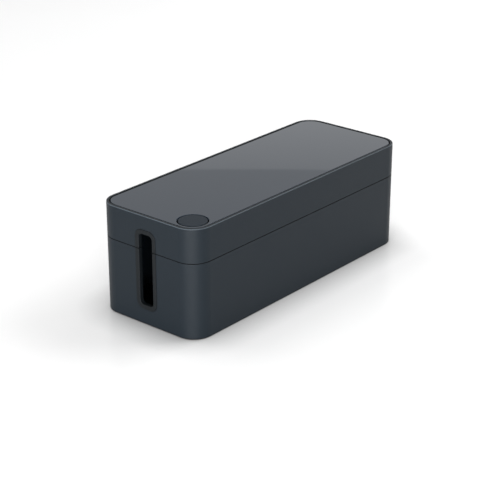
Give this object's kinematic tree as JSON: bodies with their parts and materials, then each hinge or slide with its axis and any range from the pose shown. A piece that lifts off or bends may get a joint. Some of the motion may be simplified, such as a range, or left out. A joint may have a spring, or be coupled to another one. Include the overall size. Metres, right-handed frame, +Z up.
{
  "type": "cable management box",
  "caption": "Long rounded plastic box for a power strip, with a lift-off lid, a glossy inlaid top panel, a round push button in one corner and a tall cable outlet in each end.",
  "frame": {"origin": "middle of the box on the surface that its feet stand on", "axes": "+X along the box towards the end away from the button, +Y towards the back, +Z up; the button is in the -X, -Y corner of the lid"},
  "size_m": [0.408, 0.1554, 0.1402],
  "materials": {
    "casing": "dark blue-grey moulded plastic, fine satin texture",
    "trim": "dark blue-grey moulded plastic, a little darker than the casing",
    "panel": "dark blue-grey glossy plastic sheet",
    "adhesive": "black double-sided foam tape",
    "inner_plastic": "black self-lubricating moulded plastic",
    "steel": "zinc-plated steel",
    "rubber": "black soft rubber"
  },
  "bodies": {
    "base": {"base_tub": "casing", "striker_bracket": "steel", "striker_screws": "steel", "foot_front_left": "rubber", "foot_front_right": "rubber", "foot_rear_left": "rubber", "foot_rear_right": "rubber", "trim_left_tub": "trim", "trim_right_tub": "trim"},
    "lid": {"lid_shell": "casing", "top_panel": "panel", "panel_adhesive": "adhesive", "latch_housing": "inner_plastic", "housing_screws": "steel", "button_spring": "steel", "latch_spring": "steel", "trim_left_lid": "trim", "trim_right_lid": "trim"},
    "button": {"button_cap": "casing", "button_plunger": "inner_plastic", "plunger_screw": "steel"},
    "latch": {"latch_bolt": "inner_plastic"}
  },
  "joints": [
    {"name": "lid_lift", "type": "slide", "parent": "base", "child": "lid", "axis": [0, 0, 1], "range_m": [0, 0.07]},
    {"name": "button_press", "type": "slide", "parent": "lid", "child": "button", "axis": [0, 0, -1], "range_m": [0, 0.0035], "stiffness_N_per_m": 400, "springref_m": -0.004, "deforming": ["button_spring"]},
    {"name": "latch_slide", "type": "slide", "parent": "lid", "child": "latch", "axis": [1, 0, 0], "range_m": [0, 0.0035], "stiffness_N_per_m": 200, "springref_m": -0.004, "deforming": ["latch_spring"]}
  ],
  "couplings": [
    {"joint": "latch_slide", "follows": "button_press", "ratio": 1}
  ]
}
